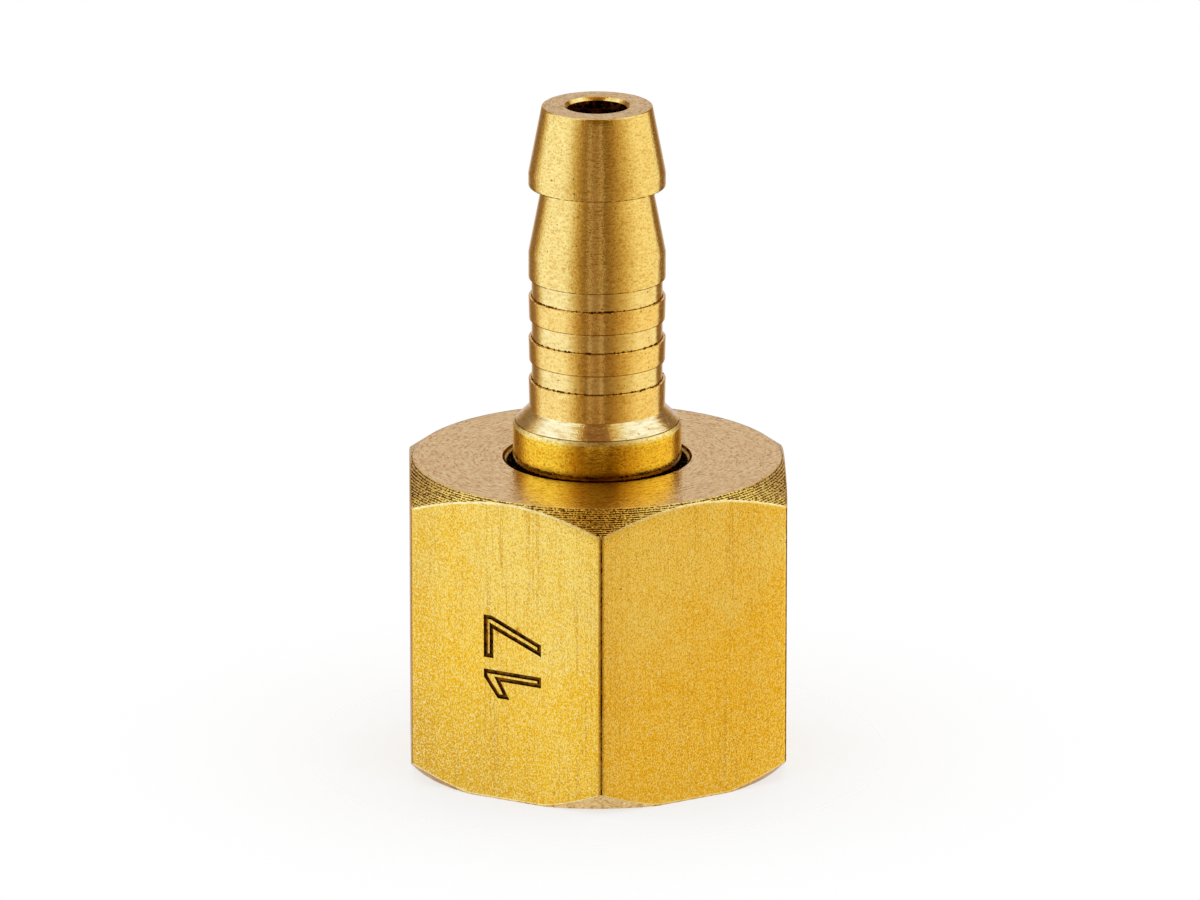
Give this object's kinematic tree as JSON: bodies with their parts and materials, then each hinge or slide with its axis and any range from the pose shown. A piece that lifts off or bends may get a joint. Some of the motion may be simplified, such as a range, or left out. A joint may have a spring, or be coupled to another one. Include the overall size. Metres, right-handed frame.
{
  "type": "hose nipple",
  "caption": "Barbed brass hose tail with a collar and a conical sealing head, held in a hexagon swivel union nut with a female pipe thread.",
  "frame": {"origin": "centre of the open end of the nut, on the common axis of nut and tail", "axes": "+Z along the axis from the nut's open end to the tip of the tail; +X through the middle of a flat of the hexagon, so a corner points along -Y"},
  "size_m": [0.017, 0.0196, 0.0304],
  "materials": {
    "brass_nut": "bright drawn flats, turned ends",
    "brass_tail": "satin turned"
  },
  "bodies": {
    "tail": {"hose_tail": "brass_tail"},
    "nut": {"union_nut": "brass_nut"}
  },
  "joints": [
    {"name": "nut_swivel", "type": "hinge", "parent": "tail", "child": "nut", "pos_m": [0, 0, 0.0125], "axis": [0, 0, 1], "continuous": true}
  ]
}
